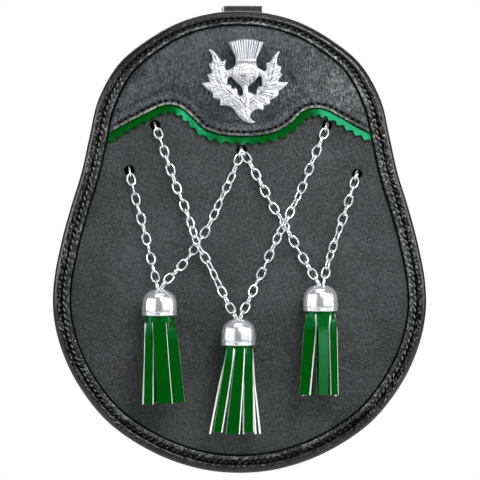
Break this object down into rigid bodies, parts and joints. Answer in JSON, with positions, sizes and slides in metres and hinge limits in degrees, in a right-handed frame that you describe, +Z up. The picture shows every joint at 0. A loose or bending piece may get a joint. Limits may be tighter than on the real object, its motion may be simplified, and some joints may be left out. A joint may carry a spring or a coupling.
{
  "type": "sporran pouch",
  "caption": "Hanging pear-shaped leather pouch with a folded gusset and a flapped rear mouth, a belt loop, a relief thistle, and strip tassels hung on crossing chains.",
  "frame": {"origin": "middle of the belt loop's opening, behind the top of the back panel, where the belt or strap runs through", "axes": "+Z up as it hangs, -Y towards the front of the pouch, +X to the viewer's right along the belt"},
  "size_m": [0.1868, 0.0545, 0.2351],
  "materials": {
    "black_leather": "grained, semi-matt",
    "binding_leather": "soft, puckered, semi-gloss",
    "green_leather": "glossy, with white cut edges",
    "cast_silver": "bright cast relief",
    "polished_chrome": "polished"
  },
  "bodies": {
    "root": {"front_panel": "black_leather", "back_panel": "black_leather", "gusset": "black_leather", "front_binding": "binding_leather", "cantle": "black_leather", "pinked_trim": "green_leather", "thistle_badge": "cast_silver", "outer_chain": "polished_chrome", "centre_chain": "polished_chrome", "left_tassel_cap": "polished_chrome", "centre_tassel_cap": "polished_chrome", "right_tassel_cap": "polished_chrome", "left_tassel": "green_leather", "centre_tassel": "green_leather", "right_tassel": "green_leather", "belt_loop": "black_leather", "back_flap": "black_leather", "press_stud": "polished_chrome"}
  },
  "joints": []
}
